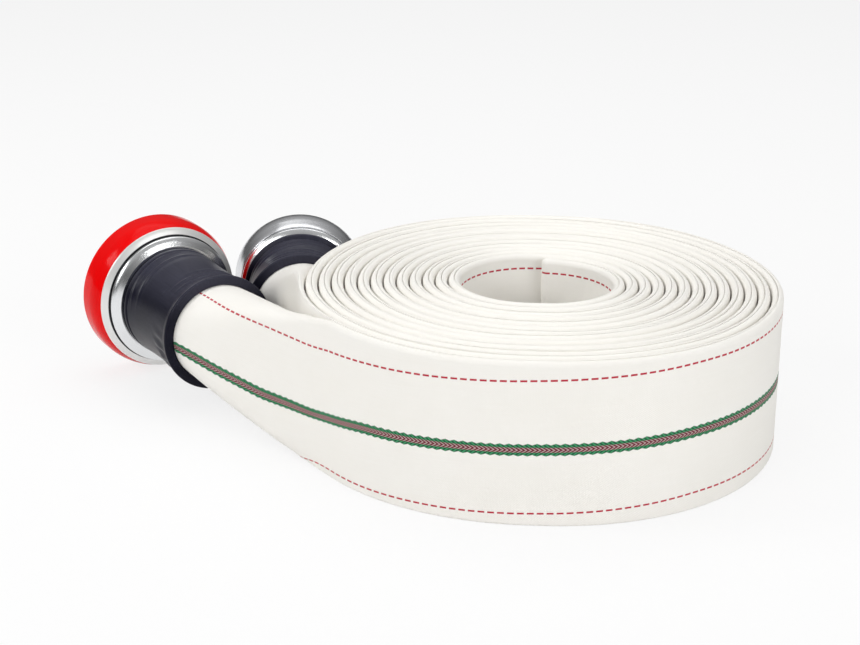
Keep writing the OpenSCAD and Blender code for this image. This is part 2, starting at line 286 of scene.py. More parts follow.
# How far the upper edges wander up, in waves along the hose
EDGE_RISE = 1.1
EDGE_UNEVEN = 0.8
EDGE_WAVES = (1310.0, 571.0, 243.0)
EDGE_SEED = 2.3

# How far the marked face swells, in waves along the hose, over this share of its height
FACE_SWELL = 0.125
FACE_WAVES = (167.0, 89.0)
FACE_SEED = 0.9
FACE_SHARE = 0.93

# Both fade out where the hose has opened by this much
FLAT_FADE = 6.0

# How far the free hose sags on its upper side
SAG = 7.0

# Slope and notch of the upper edge, and how soon they fade as the hose opens
EDGE_DROP = 2.4
EDGE_NOTCH = 0.5
NOTCH_SHARE = 0.2
RIDGE_FADE = 3.0

# The least half thickness of the lining, and the play in telling face from edge
LEAST_HALF = 0.25
ON_EDGE = 1e-9


def section_points(half_open, girth, inset):
    """Places of the girth marks across and up, for each station.

    The girth stays the same as the hose opens. Where the hose is flat, its upper edge slopes down from
    the side that lies against the hose's own other half, so that the two halves of a turn make one
    rounded ridge with a fine notch in it.
    """
    h = half_open[:, None]
    flat = math.pi * (HOSE_R - h) / 2
    w = np.abs(girth)[None, :]
    marked = w <= QUARTER_GIRTH
    side = np.where(marked, 1.0, -1.0)
    w = np.where(marked, w, 2 * QUARTER_GIRTH - w)
    up = np.sign(girth)[None, :]
    bend = np.clip((w - flat) / h, 0, math.pi / 2)
    grown = np.maximum(h - inset, LEAST_HALF)
    round_across = side * grown * np.cos(bend)
    round_rise = np.minimum(w, flat) + grown * np.sin(bend)
    over = np.where(marked, bend, math.pi - bend) / 2
    notch = EDGE_NOTCH * np.clip(1 - (1 - over / (math.pi / 2)) / NOTCH_SHARE, 0, 1) ** 2
    at_edge = (w >= flat - ON_EDGE) & (bend + marked > 0)
    ridge_across = np.where(at_edge, grown * (2 * np.cos(over) - 1), side * grown)
    wall = w * (flat + grown - EDGE_NOTCH) / np.maximum(flat, 1)
    face_rise = np.where(marked, np.minimum(w, flat - EDGE_DROP), wall)
    edge_rise = flat - EDGE_DROP + (grown + EDGE_DROP) * np.sin(over) - notch
    ridge_rise = np.where(at_edge, edge_rise, face_rise)
    opened = np.clip(RIDGE_FADE * (h - SKIN_HALF) / (HOSE_R - SKIN_HALF), 0, 1)
    roundness = np.where(up > 0, opened ** 2 * (3 - 2 * opened), 1)
    across = ridge_across + (round_across - ridge_across) * roundness
    rise = ridge_rise + (round_rise - ridge_rise) * roundness
    return across, up * rise


def hose_grid(first, last, girth, stride=1, inset=0.0):
    """Points of a stretch of hose in metres, with its distance along at each station."""
    picks = np.unique(np.append(np.arange(first, last + 1, stride), last))
    half_open = route.half_open[picks]
    along = route.along[picks]
    across, rise = section_points(half_open, girth, inset)
    flatness = np.clip(1 - (half_open - SKIN_HALF) / FLAT_FADE, 0, 1)[:, None]
    upper = np.clip(rise, 0, None) / (FLAT_W / 2)
    uneven = 1 + EDGE_UNEVEN * ripple(along, EDGE_WAVES, EDGE_SEED)
    lift = EDGE_RISE * uneven[:, None] * flatness * upper
    facing = (np.abs(girth) < FACE_SHARE * QUARTER_GIRTH) & (np.abs(girth) > 0)
    crown = np.cos(girth / QUARTER_GIRTH * math.pi / 2) * facing
    swell = FACE_SWELL * ripple(along, FACE_WAVES, FACE_SEED)[:, None] * crown
    across = across + swell * flatness
    rise = rise - SAG * route.slack[picks][:, None] * upper ** 2
    middle = route.points[picks][:, None, :]
    side = route.marked_side[picks][:, None, :]
    up = route.up[picks][:, None, :]
    return (middle + across[:, :, None] * side + (lift + rise)[:, :, None] * up) * MM, along


def girth_marks(face_marks, edge_marks):
    """Places round the girth, dense at the two edges, starting at the middle of the unmarked face."""
    edge_from = math.pi * (HOSE_R - SKIN_HALF) / 2
    face = np.linspace(-edge_from, edge_from, face_marks + 1)
    edge = np.linspace(edge_from, 2 * QUARTER_GIRTH - edge_from, edge_marks + 1)[1:-1]
    back = np.linspace(2 * QUARTER_GIRTH - edge_from, 2 * QUARTER_GIRTH, face_marks // 2 + 1)
    upper = np.concatenate([edge, back])
    return np.concatenate([-upper[::-1], face, upper])[:-1]


NO_LENGTH = 1e-12


def grid_normals(grid):
    """Directions out of the skin at the points of a grid that closes round its girth."""
    along = np.gradient(grid, axis=0)
    round_way = np.roll(grid, -1, axis=1) - np.roll(grid, 1, axis=1)
    normals = np.cross(along, round_way)
    return normals / np.maximum(np.linalg.norm(normals, axis=2), NO_LENGTH)[:, :, None]


def new_object(name, mesh):
    made = bpy.data.objects.new(name, mesh)
    bpy.context.scene.collection.objects.link(made)
    return made


# How the markings wander as the hose twists: distance from the red lip, then how far over or under the
# middle of the marked face the stripe, the upper dashes and the lower dashes lie there
MARK_LINES = (
    (0, -4, 49, -57),
    (50, -14, 45, -66),
    (95, -20, 44, -72),
    (155, -19, 39, -58),
    (220, -9, 44, -58),
    (300, -5, 48, -56),
    (400, -2, 52, -53),
    (490, 0, 55, -50),
    (700, 0, 53, -53),
)
MARK_EASE = 45
MARK_FROM = -200
MARK_TO = 1000


def mark_lines(along):
    """The places of the stripe, the upper and the lower dashes, as smooth lines."""
    from_lip = np.arange(MARK_FROM, MARK_TO)
    known = np.array(MARK_LINES)
    window = np.hanning(MARK_EASE)
    lip = RED.coupling.reach - RED.coupling.hose_start
    lines = []
    for places in known.T[1:]:
        plain = np.pad(np.interp(from_lip, known[:, 0], places), MARK_EASE, mode="edge")
        eased = np.convolve(plain, window / window.sum(), mode="same")[MARK_EASE:-MARK_EASE]
        lines.append(np.interp(along - lip, from_lip, eased))
    return lines


def print_place(girth, stripe, upper, lower):
    """Where a point of the girth lies on the cloth as it was woven, with the stripe in its middle."""
    share = np.where(girth > stripe, upper - stripe, stripe - lower)
    return (girth - stripe) * DASH_AT / MM / share


# Picture of a long strip: rows of hose under each other, with the hidden part of the girth narrowed
ROW_LENGTH = 420.0
ROW_BORDER = 0.03
ROW_OVERHANG = 0.02
SHOWN_GIRTH = 0.56
HIDDEN_HEIGHT = 0.12


def packed_rows(along, girth_edges):
    """How many rows of the picture the strip takes, and where stations and girth marks lie in them."""
    rows = max(1, round((along[-1] - along[0]) / ROW_LENGTH))
    share = np.abs(girth_edges) / (2 * QUARTER_GIRTH)
    shown = share / SHOWN_GIRTH * (1 - HIDDEN_HEIGHT)
    hidden = 1 - HIDDEN_HEIGHT + (share - SHOWN_GIRTH) / (1 - SHOWN_GIRTH) * HIDDEN_HEIGHT
    narrowed = np.where(share < SHOWN_GIRTH, shown, hidden)
    height = 0.5 + 0.5 * np.sign(girth_edges) * narrowed
    part = (along - along[0]) / (along[-1] - along[0]) * rows
    return rows, part, height


def hose_mesh(name, grid, along, girth, flip=False):
    """The skin over a grid, mapped by length and girth and onto its picture. Flipped, it faces in."""
    stations, marks = grid.shape[:2]
    mesh = bpy.data.meshes.new(name)
    i, j = np.meshgrid(np.arange(stations - 1), np.arange(marks), indexing="ij")
    following = (j + 1) % marks
    corners = [(i, j, j), (i, following, j + 1), (i + 1, following, j + 1), (i + 1, j, j)]
    if not flip:
        corners = corners[::-1]
    faces = np.stack([a * marks + b for a, b, _ in corners], axis=-1).reshape(-1, 4)
    mesh.from_pydata(grid.reshape(-1, 3).tolist(), [], faces.tolist())
    girth_edges = np.append(girth, 2 * QUARTER_GIRTH)
    lengths = mesh.uv_layers.new(name="HoseLength")
    stripe, upper, lower = mark_lines(along)
    real = []
    for a, _, c in corners:
        printed = print_place(girth_edges[c], stripe[a], upper[a], lower[a])
        real.append(np.stack([along[a], printed], axis=-1))
    lengths.data.foreach_set("uv", (np.stack(real, axis=-2) * MM).astype(np.float32).ravel())
    rows, part, height = packed_rows(along, girth_edges)
    row = np.minimum(np.floor((part[i] + part[i + 1]) / 2), rows - 1)
    room = 1 - 2 * ROW_BORDER
    packed = []
    for a, _, c in corners:
        x = ROW_BORDER + room * np.clip(part[a] - row, -ROW_OVERHANG, 1 + ROW_OVERHANG)
        y = (row + ROW_BORDER + room * height[c]) / rows
        packed.append(np.stack([x, y], axis=-1))
    picture = mesh.uv_layers.new(name="OFBake")
    picture.data.foreach_set("uv", np.stack(packed, axis=-2).astype(np.float32).ravel())
    mesh.shade_smooth()
    normals = grid_normals(grid).reshape(-1, 3)
    mesh.normals_split_custom_set_from_vertices((-normals if flip else normals).tolist())
    return mesh


# Materials

def linear(r, g, b):
    """A colour written in the usual 0 to 255, as the shader wants it."""
    def one(c):
        c /= 255
        return c / 12.92 if c <= 0.04045 else ((c + 0.055) / 1.055) ** 2.4
    return (one(r), one(g), one(b), 1.0)


class Paint:
    """A material's node tree, with short calls for the nodes used here."""

    def __init__(self, name):
        self.material = bpy.data.materials.new(name)
        self.material.use_nodes = True
        self.tree = self.material.node_tree
        self.shader = self.tree.nodes["Principled BSDF"]

    def feed(self, socket, value):
        if isinstance(value, bpy.types.NodeSocket):
            self.tree.links.new(value, socket)
        else:
            socket.default_value = value

    def node(self, kind, **settings):
        made = self.tree.nodes.new(kind)
        for key, value in settings.items():
            setattr(made, key, value)
        return made

    def maths(self, operation, a, b=0.0):
        made = self.node("ShaderNodeMath", operation=operation)
        self.feed(made.inputs[0], a)
        self.feed(made.inputs[1], b)
        return made.outputs[0]

    def times(self, a, b):
        return self.maths("MULTIPLY", a, b)

    def plus(self, a, b):
        return self.maths("ADD", a, b)

    def rest_of(self, share):
        return self.maths("SUBTRACT", 1.0, share)

    def from_axis(self, x, y):
        return self.maths("SQRT", self.plus(self.times(x, x), self.times(y, y)))

    def soft_step(self, value, start, stop):
        made = self.node("ShaderNodeMapRange", interpolation_type="SMOOTHSTEP")
        self.feed(made.inputs["Value"], value)
        self.feed(made.inputs["From Min"], start)
        self.feed(made.inputs["From Max"], stop)
        return made.outputs["Result"]

    def spread(self, value, low, high):
        made = self.node("ShaderNodeMapRange")
        self.feed(made.inputs["Value"], value)
        self.feed(made.inputs["To Min"], low)
        self.feed(made.inputs["To Max"], high)
        return made.outputs["Result"]

    def mix(self, share, a, b):
        made = self.node("ShaderNodeMix", data_type="RGBA")
        self.feed(made.inputs["Factor"], share)
        self.feed(made.inputs[6], a)
        self.feed(made.inputs[7], b)
        return made.outputs[2]

    def noise(self, where, scale, detail, roughness=0.5):
        made = self.node("ShaderNodeTexNoise")
        self.feed(made.inputs["Vector"], where)
        self.feed(made.inputs["Scale"], scale)
        self.feed(made.inputs["Detail"], detail)
        self.feed(made.inputs["Roughness"], roughness)
        return made.outputs["Fac"]

    def vector(self, x, y, z):
        made = self.node("ShaderNodeCombineXYZ")
        for socket, value in zip(made.inputs, (x, y, z)):
            self.feed(socket, value)
        return made.outputs[0]

    def vector_maths(self, operation, a, b=(0, 0, 0)):
        made = self.node("ShaderNodeVectorMath", operation=operation)
        self.feed(made.inputs[0], a)
        self.feed(made.inputs[1], b)
        return made

    def parts(self, vector):
        made = self.node("ShaderNodeSeparateXYZ")
        self.feed(made.inputs[0], vector)
        return made.outputs

    def object_place(self):
        return self.node("ShaderNodeTexCoord").outputs["Object"]

    def bump(self, height, distance, strength):
        made = self.node("ShaderNodeBump")
        self.feed(made.inputs["Height"], height)
        self.feed(made.inputs["Distance"], distance)
        self.feed(made.inputs["Strength"], strength)
        self.feed(self.shader.inputs["Normal"], made.outputs["Normal"])

    def set(self, **values):
        for key, value in values.items():
            self.feed(self.shader.inputs[key.replace("_", " ")], value)


# Dark colours painted as shade in the gaps between a collar and its lug ring
GAP_SHADE_DARK = linear(16, 16, 18)
GAP_SHADE_THIN = linear(40, 40, 44)
IVORY = linear(250, 248, 244)
IVORY_WARM = linear(243, 240, 232)
WEAVE_SHADE = linear(214, 211, 203)
STRIPE_GREEN = linear(58, 148, 96)
STRIPE_DARK = linear(26, 88, 60)
THREAD_MAROON = linear(112, 36, 54)
THREAD_PALE = linear(184, 162, 158)
DASH_RED = linear(184, 34, 56)

LINING_DARK = linear(150, 148, 142)
LINING_PALE = linear(176, 174, 168)
RED_BRIGHT = linear(238, 6, 5)
RED_DEEP = linear(214, 3, 8)
RED_SCUFF = linear(238, 70, 62)
RUBBER_DARK = linear(17, 17, 28)
RUBBER_PALE = linear(26, 26, 40)
RUBBER_BLOOM = linear(50, 51, 68)
# A colour of painted light for the rubber's upper side, and a scratch colour that also paints highlight
# streaks
RUBBER_TOP_LIGHT = linear(96, 96, 112)
RUBBER_SCRATCH_AND_GLINT = linear(100, 102, 116)
WASHER_PALE = linear(214, 204, 184)
WASHER_DARK = linear(196, 184, 160)

# Sizes of the woven pattern in metres, and the slopes of its scallops and chevrons
WARP_PITCH = 0.0015
WEFT_PITCH = 0.0021
STRIPE_HALF = 0.0046
STRIPE_CORE = 0.0020
STRIPE_SCALLOP = 0.0068
SCALLOP_STEEPNESS = 0.35
CHEVRON_PITCH = 0.0034
CHEVRON_SLANT = 1.6
SCALLOP_SHIFT = 0.0005
GREEN_EDGE = 0.0003
THREAD_EDGE = 0.0002
DASH_AT = 0.0530
DASH_HALF = 0.0007
DASH_EDGE_IN = 0.0002
DASH_EDGE_OUT = 0.0003
DASH_PERIOD = 0.0073

# Share of a period that is dash, and how softly a dash ends
DASH_SHARE = 0.70
DASH_END = 0.03


def woven_jacket():
    """Ivory woven polyester with its woven stripe and dashed lines, laid out by length and girth."""
    p = Paint("woven_jacket")
    lengths = p.node("ShaderNodeUVMap", uv_map="HoseLength").outputs["UV"]
    u, v, _ = p.parts(lengths)
    off_middle = p.maths("ABSOLUTE", v)

    cross = p.maths("SINE", p.times(u, 2 * math.pi / WEFT_PITCH))
    warp = p.maths("SINE", p.times(v, 2 * math.pi / WARP_PITCH))
    weave = p.spread(p.times(cross, warp), 0.25, 0.75)

    slubs = p.noise(p.vector(p.times(u, 30), p.times(v, 700), 0), scale=1.0, detail=3.0)
    clouds = p.noise(p.vector(p.times(u, 14), p.times(v, 22), 3), scale=1.0, detail=3.0)
    tint = p.plus(p.times(slubs, 0.35), p.times(clouds, 0.55))
    cloth = p.mix(tint, IVORY, IVORY_WARM)
    cloth = p.mix(p.times(weave, 0.10), cloth, WEAVE_SHADE)

    scallop = p.times(p.maths("PINGPONG", u, STRIPE_SCALLOP / 2), SCALLOP_STEEPNESS)
    edge = p.maths("SUBTRACT", p.plus(off_middle, scallop), SCALLOP_SHIFT)
    green_mask = p.rest_of(p.soft_step(edge, STRIPE_HALF - GREEN_EDGE, STRIPE_HALF + GREEN_EDGE))
    tooth = p.maths("FRACT", p.maths("DIVIDE", p.plus(u, off_middle), STRIPE_SCALLOP / 2))
    green = p.mix(p.soft_step(tooth, 0.35, 0.6), STRIPE_GREEN, STRIPE_DARK)
    slanted = p.plus(u, p.times(off_middle, CHEVRON_SLANT))
    chevron = p.maths("FRACT", p.maths("DIVIDE", slanted, CHEVRON_PITCH))
    thread = p.mix(p.soft_step(chevron, 0.58, 0.66), THREAD_MAROON, THREAD_PALE)
    core_mask = p.rest_of(p.soft_step(off_middle, STRIPE_CORE - THREAD_EDGE, STRIPE_CORE + THREAD_EDGE))
    stripe = p.mix(core_mask, green, thread)
    cloth = p.mix(green_mask, cloth, stripe)

    from_line = p.maths("ABSOLUTE", p.maths("SUBTRACT", off_middle, DASH_AT))
    on_line = p.rest_of(p.soft_step(from_line, DASH_HALF - DASH_EDGE_IN, DASH_HALF + DASH_EDGE_OUT))
    share = p.maths("PINGPONG", p.maths("DIVIDE", u, DASH_PERIOD), 0.5)
    on_dash = p.rest_of(p.soft_step(share, DASH_SHARE / 2 - DASH_END, DASH_SHARE / 2 + DASH_END))
    cloth = p.mix(p.times(on_line, on_dash), cloth, DASH_RED)

    p.set(Base_Color=cloth, Roughness=p.spread(slubs, 0.62, 0.82))
    p.set(Specular_IOR_Level=0.25, Sheen_Weight=0.15, Sheen_Roughness=0.4)
    p.bump(p.plus(weave, p.times(slubs, 0.6)), distance=0.00022, strength=0.6)
    return p.material


def lining_rubber():
    """Smooth grey rubber inside the hose."""
    p = Paint("lining_rubber")
    place = p.object_place()
    grain = p.noise(place, scale=420.0, detail=4.0)
    p.set(Base_Color=p.mix(grain, LINING_DARK, LINING_PALE), Roughness=p.spread(grain, 0.5, 0.7))
    p.bump(grain, distance=0.0002, strength=0.5)
    return p.material


def lathe_rings(p, radius, along):
    """The fine rings that a lathe leaves about an axis."""
    place = p.vector(p.times(radius, 3.0), p.times(along, 3.0), 0)
    return p.noise(place, scale=900.0, detail=4.0, roughness=0.6)


# Painted shade in the gap at a collar's front: where it ends and where it is full, in metres along the
# axis
GAP_SHADE_TO = -0.0013
GAP_SHADE_FULL = -0.0009


def turned_metal(name, bright, dull, rough_low, rough_high):
    """Metal with lathe rings, and painted shade at its front where the gap to the ring lies, for turned
    pieces with their front at z = 0.
    """
    p = Paint(name)
    x, y, z = p.parts(p.object_place())
    radius = p.from_axis(x, y)
    rings = lathe_rings(p, radius, z)
    stains = p.noise(p.object_place(), scale=45.0, detail=4.0)
    uneven = p.times(p.plus(rings, stains), 0.5)
    # Painted shade: a dark, non-metallic band at the collar's front stands in for the shade in the gap
    # to the lug ring
    painted_gap_shade = p.soft_step(z, GAP_SHADE_TO, GAP_SHADE_FULL)
    colour = p.mix(painted_gap_shade, p.mix(uneven, bright, dull), GAP_SHADE_DARK)
    p.set(Base_Color=colour, Metallic=p.rest_of(painted_gap_shade),
          Roughness=p.spread(uneven, rough_low, rough_high))
    p.bump(rings, distance=0.00006, strength=0.5)
    return p.material


def cast_metal(name, bright, dull, rough_low, rough_high):
    """Metal with a fine cast grain, for CAD nodes, which keep the row frame."""
    p = Paint(name)
    place = p.object_place()
    grain = p.noise(place, scale=900.0, detail=3.0)
    stains = p.noise(place, scale=38.0, detail=4.0)
    p.set(Base_Color=p.mix(stains, bright, dull), Metallic=1.0,
          Roughness=p.spread(stains, rough_low, rough_high))
    p.bump(grain, distance=0.00005, strength=0.5)
    return p.material


# Painted shade on a lug ring's back round the collar: how far it lies inside and outside the collar's
# rim, and its soft edge
GAP_SHADE_IN = 0.0008
GAP_SHADE_OUT = 0.0009
GAP_SHADE_EASE = 0.0004


def ring_metal(name, end, bright, dull, rough_low, rough_high, metallic, gap_shade_share):
    """A lug ring's metal: lathe rings about its axis, and a painted dark line of shade on its back
    round the collar.
    """
    p = Paint(name)
    place = p.object_place()
    off = p.vector_maths("SUBTRACT", place, end.front * MM).outputs["Vector"]
    aside = p.vector_maths("CROSS_PRODUCT", off, end.way).outputs["Vector"]
    radius = p.vector_maths("LENGTH", aside).outputs["Value"]
    back = p.vector_maths("DOT_PRODUCT", off, -end.way).outputs["Value"]
    rings = lathe_rings(p, radius, back)
    stains = p.noise(place, scale=38.0, detail=4.0)
    uneven = p.times(p.plus(rings, stains), 0.5)
    collar = end.coupling.collar_r * MM
    behind = end.coupling.ring_len * MM
    inside = p.soft_step(radius, collar - GAP_SHADE_IN - GAP_SHADE_EASE, collar - GAP_SHADE_IN)
    outside = p.soft_step(radius, collar + GAP_SHADE_OUT + GAP_SHADE_EASE, collar + GAP_SHADE_OUT)
    on_back = p.soft_step(back, behind - GAP_SHADE_EASE, behind - GAP_SHADE_EASE / 2)
    # Painted shade: a dark ring on the back face round the collar's rim, as strong as the share given
    painted_gap_shade = p.times(p.times(inside, outside), p.times(on_back, gap_shade_share))
    clean = p.mix(uneven, bright, dull)
    p.set(Base_Color=p.mix(painted_gap_shade, clean, GAP_SHADE_THIN), Metallic=metallic,
          Roughness=p.spread(uneven, rough_low, rough_high))
    p.bump(rings, distance=0.00005, strength=0.5)
    return p.material


def red_guard():
    """Glossy red moulded band, a little paler and duller where it is scuffed."""
    p = Paint("red_guard")
    place = p.object_place()
    x, y, z = p.parts(place)
    clouds = p.noise(place, scale=26.0, detail=4.0)
    around = p.vector(p.times(x, 60), p.times(y, 60), p.times(z, 900))
    scuffs = p.noise(around, scale=1.0, detail=5.0, roughness=0.65)
    worn = p.soft_step(scuffs, 0.60, 0.76)
    colour = p.mix(clouds, RED_BRIGHT, RED_DEEP)
    colour = p.mix(p.times(worn, 0.22), colour, RED_SCUFF)
    wear = p.plus(p.times(clouds, 0.5), p.times(worn, 0.5))
    p.set(Base_Color=colour, Roughness=p.spread(wear, 0.14, 0.28))
    p.set(Specular_IOR_Level=0.05, Coat_Weight=0.06, Coat_Roughness=0.12)
    p.bump(p.noise(place, scale=320.0, detail=3.0), distance=0.00008, strength=0.5)
    return p.material


# Painted light on the rubber's upper side, laid in patches: where it starts and is full, with -1 at the
# top, and its least and most share
TOP_LIGHT_FROM = -0.35
TOP_LIGHT_FULL = -0.95
TOP_LIGHT_LEAST = 0.1
TOP_LIGHT_MOST = 0.42


def black_rubber():
    """Bluish black moulded rubber with scratches that also paint highlight streaks, a bloom in patches,
    and painted light in patches on its upper side.
    """
    p = Paint("black_rubber")
    place = p.object_place()
    x, y, z = p.parts(place)
    angle = p.maths("ARCTAN2", y, x)
    patchwork = p.vector(p.times(angle, 26), p.times(z, 22), 0)
    streaks = p.noise(patchwork, scale=1.0, detail=5.0, roughness=0.7)
    patches = p.noise(place, scale=38.0, detail=4.0)
    grain = p.noise(place, scale=700.0, detail=3.0)
    slant = p.plus(p.times(z, 900), p.times(angle, 2.5))
    lines = p.noise(p.vector(p.times(angle, 1.4), slant, 7), scale=1.0, detail=2.0)
    # Light scratch lines, which also paint highlight streaks that run round the sleeve
    scratches_and_glints = p.times(p.soft_step(lines, 0.66, 0.74), p.soft_step(patches, 0.46, 0.60))
    bloom = p.times(p.soft_step(streaks, 0.48, 0.72), p.soft_step(patches, 0.40, 0.75))
    colour = p.mix(patches, RUBBER_DARK, RUBBER_PALE)
    colour = p.mix(p.times(bloom, 0.3), colour, RUBBER_BLOOM)
    radius = p.from_axis(x, y)
    # Painted light: the sleeve's upper side is lightened in patches
    upper = p.soft_step(p.maths("DIVIDE", x, radius), TOP_LIGHT_FROM, TOP_LIGHT_FULL)
    painted_top_light = p.times(upper, p.spread(streaks, TOP_LIGHT_LEAST, TOP_LIGHT_MOST))
    colour = p.mix(painted_top_light, colour, RUBBER_TOP_LIGHT)
    colour = p.mix(p.times(scratches_and_glints, 0.25), colour, RUBBER_SCRATCH_AND_GLINT)
    gloss = p.plus(p.times(streaks, 0.5), p.times(grain, 0.5))
    p.set(Base_Color=colour, Roughness=p.spread(gloss, 0.20, 0.40), Specular_IOR_Level=0.10)
    worn = p.maths("SUBTRACT", streaks, p.times(scratches_and_glints, 0.3))
    relief = p.plus(p.times(grain, 0.6), worn)
    p.bump(relief, distance=0.00015, strength=0.6)
    return p.material


def washer_plastic():
    """Natural-coloured plastic with a fine grain."""
    p = Paint("washer_plastic")
    grain = p.noise(p.object_place(), scale=300.0, detail=3.0)
    p.set(Base_Color=p.mix(grain, WASHER_PALE, WASHER_DARK), Roughness=p.spread(grain, 0.4, 0.6))
    p.bump(grain, distance=0.0001, strength=0.4)
    return p.material


# Couplings

# Corners this near to straight stay as they are, and a rounding takes this share of a side at most
NEARLY_STRAIGHT = 0.02
MOST_CUT = 0.49
ROUNDING_STEPS = 6


def rounded(corners):
    """An outline of (radius, place, rounding) corners with each corner rounded by its own radius."""
    outline = []
    count = len(corners)
    for i, (r, z, fillet) in enumerate(corners):
        here = np.array([r, z])
        before = np.array(corners[i - 1][:2]) - here
        after = np.array(corners[(i + 1) % count][:2]) - here
        before_len = np.linalg.norm(before)
        after_len = np.linalg.norm(after)
        before = before / before_len
        after = after / after_len
        half = math.acos(np.clip(before @ after, -1, 1)) / 2
        if fillet <= 0 or half > math.pi / 2 - NEARLY_STRAIGHT:
            outline.append(here)
            continue
        cut = min(fillet / math.tan(half), MOST_CUT * before_len, MOST_CUT * after_len)
        start = here + cut * before
        stop = here + cut * after
        for t in np.linspace(0, 1, ROUNDING_STEPS + 1):
            outline.append((1 - t) ** 2 * start + 2 * t * (1 - t) * here + t ** 2 * stop)
    return np.array(outline)


# Sides of a turned piece, and the angle in degrees from which an edge shows as sharp
LATHE_SIDES = 144
SHARP_EDGE = 40


def lathe(name, end, outline, material, body, replaced, start=0.0, relief=None):
    """A turned piece from a closed outline of radius and distance back from the coupling's front.

    Its own origin lies on the axis, start millimetres back, and relief makes its outside uneven.
    """
    count = len(outline)
    radii, places = outline.T
    angles = np.linspace(0, 2 * math.pi, LATHE_SIDES, endpoint=False)[:, None]
    r = np.broadcast_to(radii, (LATHE_SIDES, count))
    if relief:
        r = r + relief(angles, radii, places)
    back = np.broadcast_to(start - places, (LATHE_SIDES, count))
    points = np.dstack([r * np.cos(angles), r * np.sin(angles), back]) * MM
    i, j = np.meshgrid(np.arange(LATHE_SIDES), np.arange(count), indexing="ij")
    here = i * count
    beside = (i + 1) % LATHE_SIDES * count
    step = (j + 1) % count
    faces = np.stack([here + j, beside + j, beside + step, here + step], axis=-1)
    twice_area = np.sum(radii * np.roll(places, -1) - np.roll(radii, -1) * places)
    if twice_area > 0:
        faces = faces[:, :, ::-1]
    mesh = bpy.data.meshes.new(name)
    mesh.from_pydata(points.reshape(-1, 3).tolist(), [], faces.reshape(-1, 4).tolist())
    mesh.shade_smooth()
    mesh.set_sharp_from_angle(angle=math.radians(SHARP_EDGE))
    mesh.materials.append(material)
    made = new_object(name, mesh)
    made.matrix_world = end.matrix() @ Matrix.Translation((0, 0, -start * MM))
    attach(made, body)
    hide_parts(replaced)


def bow(middle_r, middle_at, r, start, stop, steps=10):
    """An arc of an outline as (radius, place back) corners: 90 is towards the front, 0 is outwards."""
    angles = np.radians(np.linspace(start, stop, steps + 1))
    return [(middle_r + r * math.cos(a), middle_at - r * math.sin(a), 0.0) for a in angles]


# Gap inside a ring that is pressed on
PRESS_GAP = 0.05


def guard_outline():
    """A band with a rounded front that curves down to the flange behind it."""
    inside = RING_R + PRESS_GAP
    outside = RING_R + GUARD_WALL
    back = RED.coupling.ring_len - FLANGE_LEN
    front_round = 4.0
    widest = back / 2
    drop = GUARD_WALL - FLANGE_RISE
    crown_r = ((back - widest) ** 2 + drop ** 2) / (2 * drop)
    fall = math.degrees(math.asin((back - widest) / crown_r))
    front = bow(outside - front_round, GUARD_FRONT + front_round, front_round, start=90, stop=0)
    crown = bow(outside - crown_r, widest, crown_r, start=0, stop=-fall + 2, steps=16)
    return rounded([(inside, back, 0.3), (inside, GUARD_FRONT, 0.8)] + front + crown
                   + [(RING_R + FLANGE_RISE, back, 0.5)])


# How far a collar's front stands back, so that a dark line shows between it and the ring
SHADOW_GAP = 0.7


def collar_outline(coupling):
    """A polished ring with a rounded shoulder and a hollow curve down to the sleeve."""
    r = coupling.collar_r
    front = coupling.collar_front + SHADOW_GAP
    back = coupling.collar_back
    shoulder = 2.2
    inside = JOURNAL_R + PRESS_GAP
    return rounded([(inside, back, 0.3), (inside, front, 0.3), (r - 1.2, front, 0.2)]
                   + bow(r - shoulder, front + shoulder, shoulder, start=60, stop=-35)
                   + [(r - 3.4, front + 4.9, 2.0), (r - 6.6, back - 0.4, 1.2), (r - 7.4, back, 0.3)])


WAIST_STEPS = 110

# Folds in the sleeve: height, pitch, then the middle and half width of the patch where they lie,
# along the sleeve and in degrees round it from its lowest line, towards the outside of the roll
NECK_FOLD = 0.9
NECK_FOLD_PITCH = 11.0
NECK_FOLD_PATCH = (16.0, 15.0)
NECK_FOLD_SIDE = (150, 60)
ROUND_FOLD = 0.9
ROUND_FOLD_PITCH = 9.0
ROUND_FOLD_PATCH = (20.0, 14.0)
ROUND_FOLD_SIDE = (178, 48)
LONG_FOLD = 1.3
LONG_FOLD_PITCH = 13
LONG_FOLD_PATCH = (20.0, 15.0)
LONG_FOLD_SIDE = (66, 44)
FOLD_SLANT = 70

# Folds lie only on the outside, this far out from the bore
FOLD_FROM = 0.8


def crease(turns):
    """Narrow ridges with wide hollows between them, from -1 to 1, one for each turn."""
    return 2 * (0.5 + 0.5 * np.cos(2 * math.pi * turns)) ** 3 - 1


def hump(value, middle, half):
    """1 at the middle, easing to 0 at this distance from it."""
    return np.cos(np.clip((value - middle) / half, -1, 1) * math.pi / 2) ** 2


def sleeve_folds(coupling):
    """How the rubber is creased: slanting folds at both ends, and long ones on its lower side."""
    def relief(angles, r, place):
        degrees = np.degrees(angles)
        from_lip = coupling.reach - place
        from_bead = place - coupling.sleeve_start
        outside = r > SLEEVE_BORE + FOLD_FROM
        neck = crease(from_bead / NECK_FOLD_PITCH + degrees / FOLD_SLANT / 2)
        neck = NECK_FOLD * neck * hump(from_bead, *NECK_FOLD_PATCH) * hump(degrees, *NECK_FOLD_SIDE)
        rings = crease(from_lip / ROUND_FOLD_PITCH + degrees / FOLD_SLANT)
        rings = ROUND_FOLD * rings * hump(from_lip, *ROUND_FOLD_PATCH) * hump(degrees, *ROUND_FOLD_SIDE)
        rays = np.cos(2 * math.pi * degrees / LONG_FOLD_PITCH)
        rays = LONG_FOLD * rays * hump(from_lip, *LONG_FOLD_PATCH) * hump(degrees, *LONG_FOLD_SIDE)
        return (neck + rings + rays) * outside
    return relief


